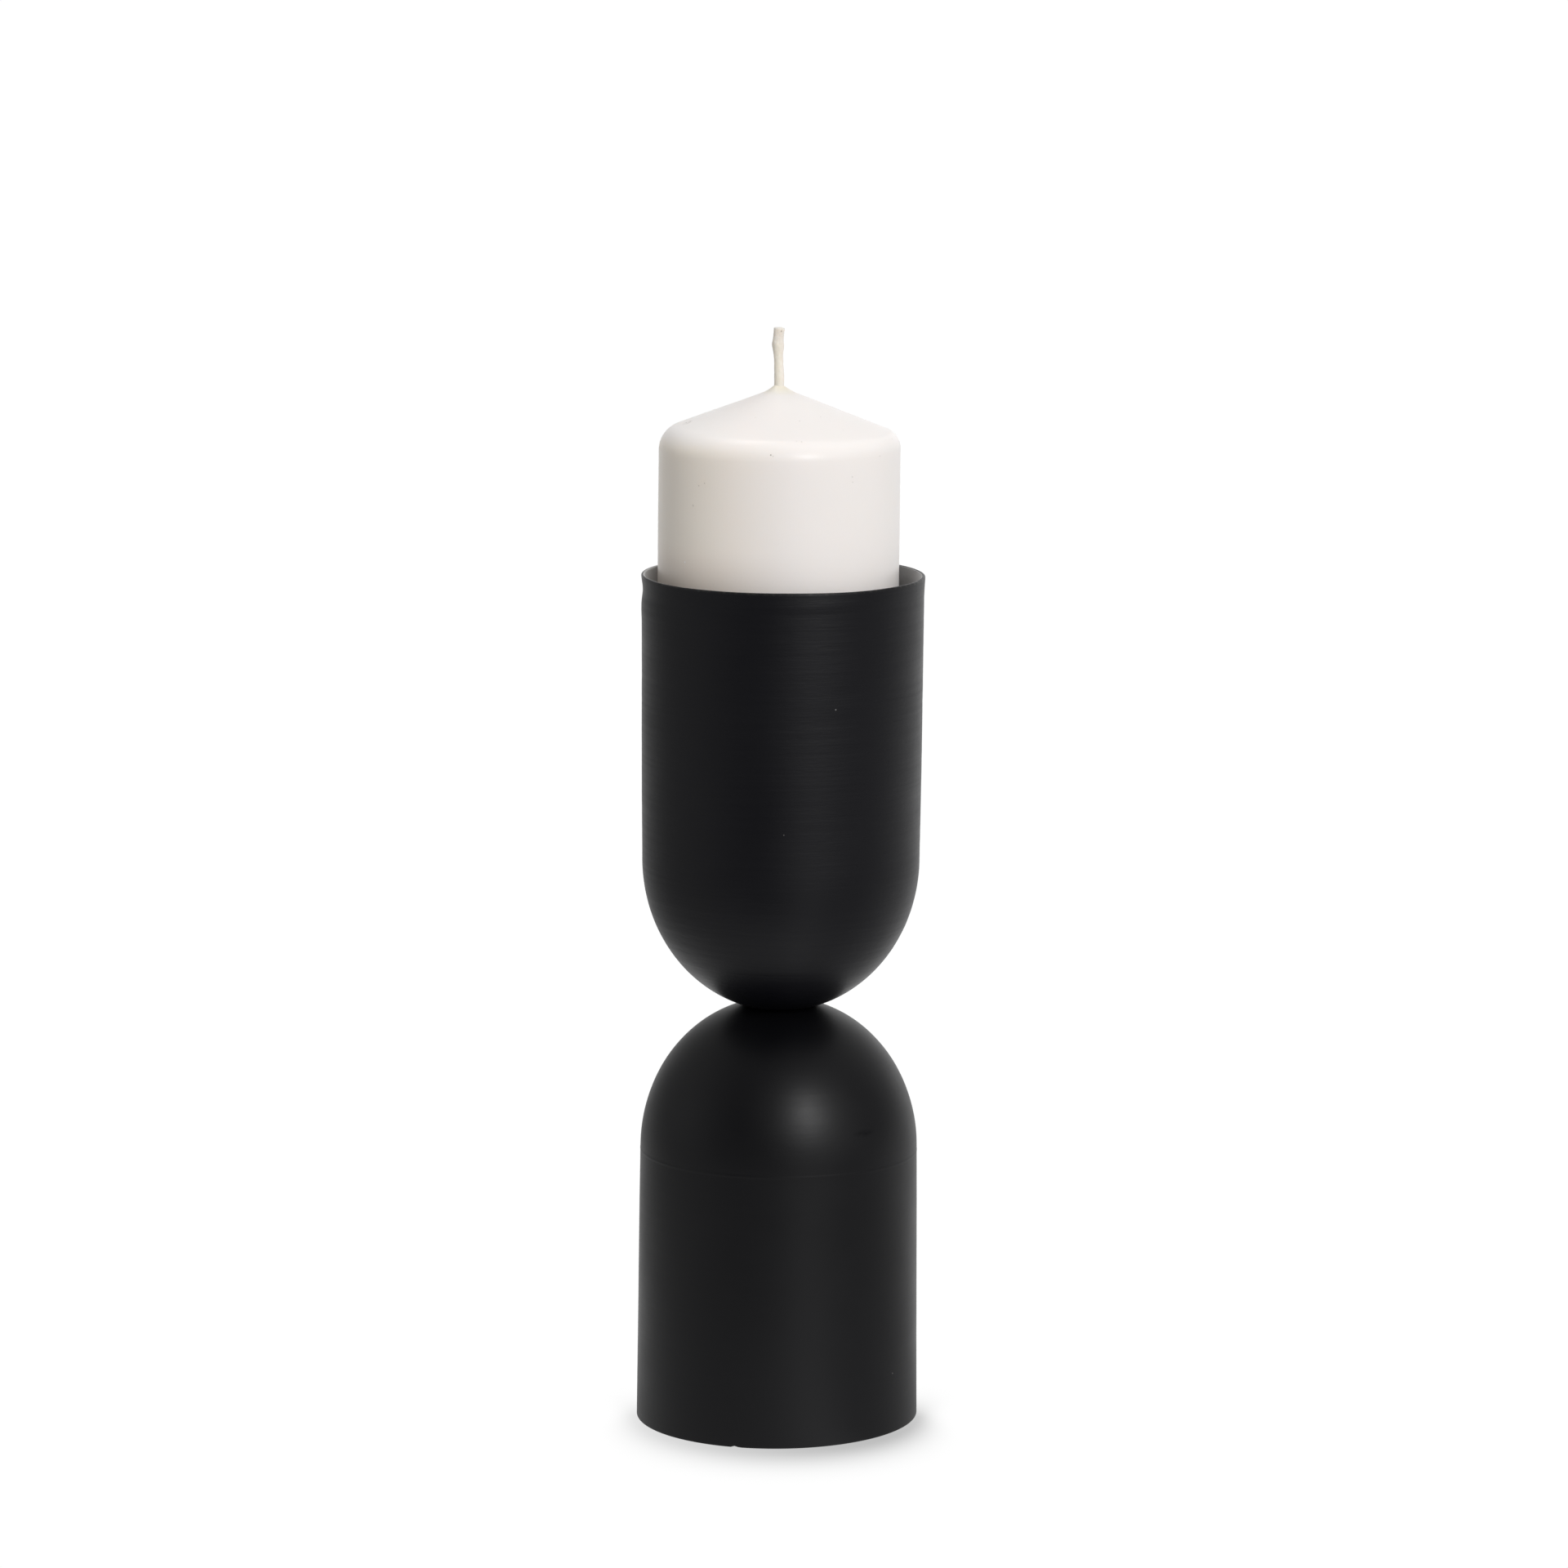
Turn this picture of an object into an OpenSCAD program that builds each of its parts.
// Pillar candle holder: two spun metal cups bolted together pole to pole.
// The lower cup stands mouth down as the foot and is closed by a felted plate.
// The upper cup stands mouth up, and a loose pressed pan in its dome carries
// the pillar candle. Millimetres, +Z up, origin at the centre of the plane the
// felt rests on.

/* [Holder] */
// Height of the top rim above the table
holder_h = 250.7; // [230:0.1:270]
// Height of the plane where the two domes meet
neck_z = 123.8; // [115:0.1:132]
// Sheet thickness of both cups
wall = 1; // [0.8:0.1:1.3]
// Radius of the small flat at the pole of each dome
pole_r = 10.4; // [10:0.1:12]
// Height of the foot's metal edge above the table, lifted by the felt
foot_gap = 0.3; // [0.2:0.1:1]

/* [Upper cup] */
// Outer radius where the upper dome meets the straight wall
upper_eq_r = 40.45; // [40.2:0.05:43]
// Outer radius at the upper cup's rim
upper_rim_r = 41; // [40.4:0.1:44]
// Vertical half axis of the upper dome's elliptical curve
upper_half_axis = 44.75; // [40:0.25:50]

/* [Base cup] */
// Outer radius where the lower dome meets the skirt
base_eq_r = 40.6; // [40.2:0.05:43]
// Outer radius at the skirt's foot
base_rim_r = 41.4; // [40.4:0.1:44]
// Vertical half axis of the lower dome's elliptical curve
base_half_axis = 43.75; // [40:0.25:50]
// Width of the faint ring left where the dome meets the skirt
seam_w = 1.2; // [0.8:0.1:2]
// Height of that ring above the surface
seam_h = 0.12; // [0.05:0.01:0.3]

/* [Drip pan] */
// Sheet thickness of the pan
pan_t = 0.8; // [0.6:0.1:1]
// Depth of the pan, from the underside of its lip to the underside of its floor
pan_depth = 4.7; // [4:0.1:7]
// Width of the turned-out lip that rests on the dome
pan_lip = 1.5; // [0.8:0.1:1.6]

/* [Foot closure] */
// Thickness of the pressed base plate
plate_t = 1.2; // [0.8:0.1:1.5]
// Height of the plate's turned-up flange
plate_flange = 7; // [4:0.5:12]
// Thickness of the felt pad
felt_t = 2; // [1.5:0.1:3]
// Distance from the plate's edge in to the felt's edge
felt_inset = 1.6; // [1:0.1:6]

/* [Candle] */
// Radius of the pillar candle
candle_r = 35; // [32:0.5:35]
// Height of the candle, from its foot to the tip of its cone
candle_h = 150; // [100:5:180]
// Distance the candle stands off the holder's axis, towards -X
candle_off = 1.3; // [0:0.05:1.5]
// Radius of the rounded shoulder
shoulder_r = 5; // [3:0.5:8]
// Slope of the low cone on top, in degrees
cone_angle = 21.75; // [12:0.25:30]
// Radius of the wick
wick_r = 1.65; // [1.2:0.05:2]
// Length of wick standing above the cone's tip
wick_out = 17.4; // [8:0.2:22]

/* [Fasteners] */
// Length of the neck bolt under its head
bolt_len = 16; // [15:1:20]
// Outer radius of the two flat washers
washer_r = 9; // [8:0.25:9.5]

/* [Hidden] */

$fn = 96;
black = [0.035, 0.036, 0.038];
zinc = [0.70, 0.71, 0.73];
felt = [0.055, 0.055, 0.06];
wax = [0.93, 0.91, 0.86];
cotton = [0.90, 0.86, 0.76];
tin = [0.78, 0.78, 0.76];

clear = 0.05;         // gap between parts that lift apart
cut = 1;              // how far a cutter runs past the face it opens

// Cups
dome_steps = 30;
edge_r = 0.35;        // rounding of the two rims
seam_rise = 0.2;      // from the equator to the start of the seam ring
upper_h = holder_h - neck_z;
base_h = neck_z - foot_gap;

// M6 fastener sizes
thread_r = 3;         // bore of the nut
bolt_r = 2.95;        // shank
bolt_tip = 0.8;       // chamfer at the shank's end
hole_r = 3.2;         // clearance hole in cups and washers
hex_af = 10;          // across flats
hex_chamfer = 0.6;
head_h = 4;
nut_h = 5;
nut_sink = 0.4;       // countersink at both ends of the nut's bore
washer_t = 1.6;
spring_t = 1.6;
spring_r = 5.9;
spring_hole_r = 3.05;
spring_gap = 0.6;     // width of the lock washer's cut
spring_tilt = 30;     // slant of that cut, in degrees

// Heights along the neck stack
upper_washer_z = neck_z + wall;
head_z = upper_washer_z + washer_t;
lower_washer_z = neck_z - wall - washer_t;
spring_z = lower_washer_z - spring_t;
nut_z = spring_z - nut_h;

// Drip pan: its wall clears the candle, its lip rests on the upper dome
pan_gap = 0.18;       // between the pan's wall and the candle
lip_margin = 0.25;    // least gap from the lip to the cup's inner equator
lip_chamfer_low = 0.1;
lip_chamfer_top = 0.2;
pan_round = 0.5;      // inside rounding at the pan's foot and mouth
pan_in_r = candle_r + candle_off + pan_gap;
pan_out_r = pan_in_r + pan_t;
pan_lip_r = min(pan_out_r + pan_lip, upper_eq_r - wall - lip_margin);
lip_z = neck_z + dome_inner_z(pan_lip_r + clear, upper_eq_r, upper_half_axis);
pan_z = lip_z - pan_depth;

// Foot closure: the plate's flange slides up inside the skirt
plate_gap = 0.04;     // between the flange's top and the skirt
plate_round = 0.4;    // inside rounding at the flange's foot
plate_z = felt_t;
plate_h = plate_t + plate_flange;
plate_r = cup_r(neck_z - plate_z - plate_h, base_eq_r, base_rim_r, base_half_axis, base_h)
          - wall - plate_gap;

// Candle, with its wick's foot tab in a recess underneath
candle_base = [-candle_off, 0, pan_z + pan_t + clear];
candle_foot_r = 0.8;  // rounding of the wax's lower edge
tab_r = 10;
tab_t = 0.3;
collar_r = wick_r + 0.55;
collar_h = 5;
recess_r = tab_r + 0.5;
recess_h = 0.5;
collar_recess_r = collar_r + 0.3;
collar_recess_h = 6;
wick_bore_r = wick_r + clear;
wick_start = tab_t + clear;

// Height of a dome's equator above its pole flat
function dome_h(eq_r, half_axis) = half_axis * sqrt(1 - pow(pole_r / eq_r, 2));

// Outer radius of a cup at height z above its pole flat
function cup_r(z, eq_r, rim_r, half_axis, height) =
    let (eq_z = dome_h(eq_r, half_axis))
    z < eq_z ? eq_r * sqrt(max(0, 1 - pow((eq_z - z) / half_axis, 2)))
             : eq_r + (rim_r - eq_r) * (z - eq_z) / (height - eq_z);

// Height above the pole flat at which the dome's inside has the given radius
function dome_inner_z(radius, eq_r, half_axis) =
    dome_h(eq_r, half_axis)
    - (half_axis - wall) * sqrt(max(0, 1 - pow(radius / (eq_r - wall), 2)));

// Points of a dome curve, from the start angle off the pole to the equator (90)
function dome_arc(eq_r, half_axis, eq_z, start) =
    [for (i = [0 : dome_steps])
        let (angle = start + (90 - start) * i / dome_steps)
        [eq_r * sin(angle), eq_z - half_axis * cos(angle)]];

// Points of an arc about the centre (x, y)
function arc(x, y, radius, start, end, steps) =
    [for (i = [0 : steps])
        let (angle = start + (end - start) * i / steps)
        [x + radius * cos(angle), y + radius * sin(angle)]];

function reversed(points) = [for (i = [len(points) - 1 : -1 : 0]) points[i]];

// Half section of a pressed dish: flat floor, rounded foot and upright wall.
// wall_top lists the points over the wall's top, from outside to inside.
function dish_outline(radius, sheet, outer_round, inner_round, wall_top) =
    concat(
        [[0, 0]],
        arc(radius - outer_round, outer_round, outer_round, -90, 0, 6),
        wall_top,
        arc(radius - sheet - inner_round, sheet + inner_round, inner_round, 0, -90, 4),
        [[0, sheet]]);

// One spun cup, mouth up, its pole flat at z = 0 and its rim at z = height.
// seam adds a faint raised ring where the dome meets the straight wall.
module spun_cup(eq_r, rim_r, half_axis, height, seam = 0) {
    eq_z = dome_h(eq_r, half_axis);
    outer_start = asin(pole_r / eq_r);
    inner_axis = half_axis - wall;
    inner_start = acos(min(1, (eq_z - wall) / inner_axis));
    slope = (rim_r - eq_r) / (height - eq_z);
    seam_end = seam_rise + seam_w;
    seam_ring = [
        [eq_r + slope * seam_rise, eq_z + seam_rise],
        [eq_r + seam, eq_z + seam_rise + seam_w * 0.35],
        [eq_r + seam, eq_z + seam_rise + seam_w * 0.65],
        [eq_r + slope * seam_end, eq_z + seam_end]];
    outer = concat(
        dome_arc(eq_r, half_axis, eq_z, outer_start),
        seam > 0 ? seam_ring : [],
        arc(rim_r - edge_r, height - edge_r, edge_r, 0, 90, 6));
    inner = concat(
        dome_arc(eq_r - wall, inner_axis, eq_z, inner_start),
        arc(rim_r - wall + edge_r, height - edge_r, edge_r, 180, 90, 6));
    difference() {
        rotate_extrude()
            polygon(concat([[0, 0]], outer, reversed(inner), [[0, wall]]));
        translate([0, 0, -cut]) cylinder(h = wall + 2 * cut, r = hole_r);
    }
}

module flat_ring(outer_r, inner_r, thickness) {
    difference() {
        cylinder(h = thickness, r = outer_r);
        translate([0, 0, -cut]) cylinder(h = thickness + 2 * cut, r = inner_r);
    }
}

// Hexagonal prism with both corner rings chamfered, as on a nut
module hexagon(across_flats, height) {
    corner_r = across_flats / 2 / cos(30);
    face_r = corner_r - 2 * hex_chamfer;
    // The chamfer line is carried a little past the corners
    side_r = corner_r + 0.1;
    side_z = hex_chamfer + 0.05;
    intersection() {
        cylinder(h = height, r = corner_r, $fn = 6);
        rotate_extrude()
            polygon([[0, 0], [face_r, 0], [side_r, side_z],
                     [side_r, height - side_z], [face_r, height], [0, height]]);
    }
}

module upper_cup() {
    color(black)
        translate([0, 0, neck_z])
            spun_cup(upper_eq_r, upper_rim_r, upper_half_axis, upper_h);
}

module base_cup() {
    color(black)
        translate([0, 0, neck_z]) mirror([0, 0, 1])
            spun_cup(base_eq_r, base_rim_r, base_half_axis, base_h, seam_h);
}

// Hexagon bolt, head inside the upper cup, shank down through both flats
module neck_bolt() {
    color(zinc) {
        translate([0, 0, head_z]) hexagon(hex_af, head_h);
        // The shank runs on into the head by the length of its tip
        translate([0, 0, head_z - bolt_len + bolt_tip])
            cylinder(h = bolt_len, r = bolt_r);
        translate([0, 0, head_z - bolt_len])
            cylinder(h = bolt_tip, r1 = bolt_r - bolt_tip, r2 = bolt_r);
    }
}

module upper_washer() {
    color(zinc)
        translate([0, 0, upper_washer_z]) flat_ring(washer_r, hole_r, washer_t);
}

module lower_washer() {
    color(zinc)
        translate([0, 0, lower_washer_z]) flat_ring(washer_r, hole_r, washer_t);
}

// Lock washer: a square-section ring with one slanted cut, on its +X side
module spring_washer() {
    cutter = [6, spring_gap, 6];
    cutter_x = 2;     // start of the cutter, inside the hole
    color(zinc)
        translate([0, 0, spring_z])
            difference() {
                flat_ring(spring_r, spring_hole_r, spring_t);
                translate([cutter_x, 0, spring_t / 2]) rotate([spring_tilt, 0, 0])
                    translate([0, -cutter.y / 2, -cutter.z / 2]) cube(cutter);
            }
}

module hex_nut() {
    sink_r = thread_r + nut_sink;
    overrun = 0.01;   // countersinks run this far past the nut's faces
    sink_h = nut_sink + overrun;
    color(zinc)
        translate([0, 0, nut_z])
            difference() {
                hexagon(hex_af, nut_h);
                translate([0, 0, -cut]) cylinder(h = nut_h + 2 * cut, r = thread_r);
                translate([0, 0, -overrun])
                    cylinder(h = sink_h, r1 = sink_r, r2 = thread_r);
                translate([0, 0, nut_h - nut_sink])
                    cylinder(h = sink_h, r1 = thread_r, r2 = sink_r);
            }
}

// Pressed pan: flat floor, low wall with a rounded foot, turned-out lip
module drip_pan() {
    lip_top = pan_depth + pan_t;
    lip = concat(
        [[pan_out_r, pan_depth],
         [pan_lip_r - lip_chamfer_low, pan_depth],
         [pan_lip_r, pan_depth + lip_chamfer_low],
         [pan_lip_r, lip_top - lip_chamfer_top],
         [pan_lip_r - lip_chamfer_top, lip_top]],
        arc(pan_in_r + pan_round, lip_top - pan_round, pan_round, 90, 180, 4));
    color(zinc)
        translate([0, 0, pan_z])
            rotate_extrude()
                polygon(dish_outline(pan_out_r, pan_t, pan_t + 0.7, pan_round, lip));
}

// Closing disc of the foot, with a flange that slides up inside the skirt
module base_plate() {
    flange_top = [[plate_r, plate_h], [plate_r - plate_t, plate_h]];
    color(black)
        translate([0, 0, plate_z])
            rotate_extrude()
                polygon(dish_outline(plate_r, plate_t, plate_t + plate_round,
                                     plate_round, flange_top));
}

module felt_pad() {
    color(felt) cylinder(h = felt_t, r = plate_r - felt_inset);
}

// Wax body: cylinder, rounded shoulder and a low cone, bored for the wick,
// with a shallow recess underneath for the wick's foot tab
module candle_wax() {
    // Centre of the shoulder's arc, which is tangent to the side and the cone
    shoulder_x = candle_r - shoulder_r;
    shoulder_z = candle_h - shoulder_x * tan(cone_angle) - shoulder_r / cos(cone_angle);
    color(wax)
        translate(candle_base)
            difference() {
                rotate_extrude()
                    polygon(concat(
                        [[0, 0]],
                        arc(candle_r - candle_foot_r, candle_foot_r, candle_foot_r,
                            -90, 0, 4),
                        arc(shoulder_x, shoulder_z, shoulder_r, 0, 90 - cone_angle, 12),
                        [[0, candle_h]]));
                translate([0, 0, -cut])
                    cylinder(h = candle_h + 2 * cut, r = wick_bore_r);
                translate([0, 0, -cut])
                    cylinder(h = collar_recess_h + cut, r = collar_recess_r);
                translate([0, 0, -cut]) cylinder(h = recess_h + cut, r = recess_r);
            }
}

// Wick, from just above the tab's disc to its cut end
module candle_wick() {
    color(cotton)
        translate(candle_base + [0, 0, wick_start])
            cylinder(h = candle_h + wick_out - wick_start, r = wick_r);
}

// Pressed tin tab: a thin disc with a collar around the wick
module wick_tab() {
    color(tin)
        translate(candle_base) {
            cylinder(h = tab_t, r = tab_r);
            translate([0, 0, tab_t]) flat_ring(collar_r, wick_bore_r, collar_h);
        }
}

upper_cup();
base_cup();
neck_bolt();
upper_washer();
lower_washer();
spring_washer();
hex_nut();
drip_pan();
base_plate();
felt_pad();
candle_wax();
candle_wick();
wick_tab();
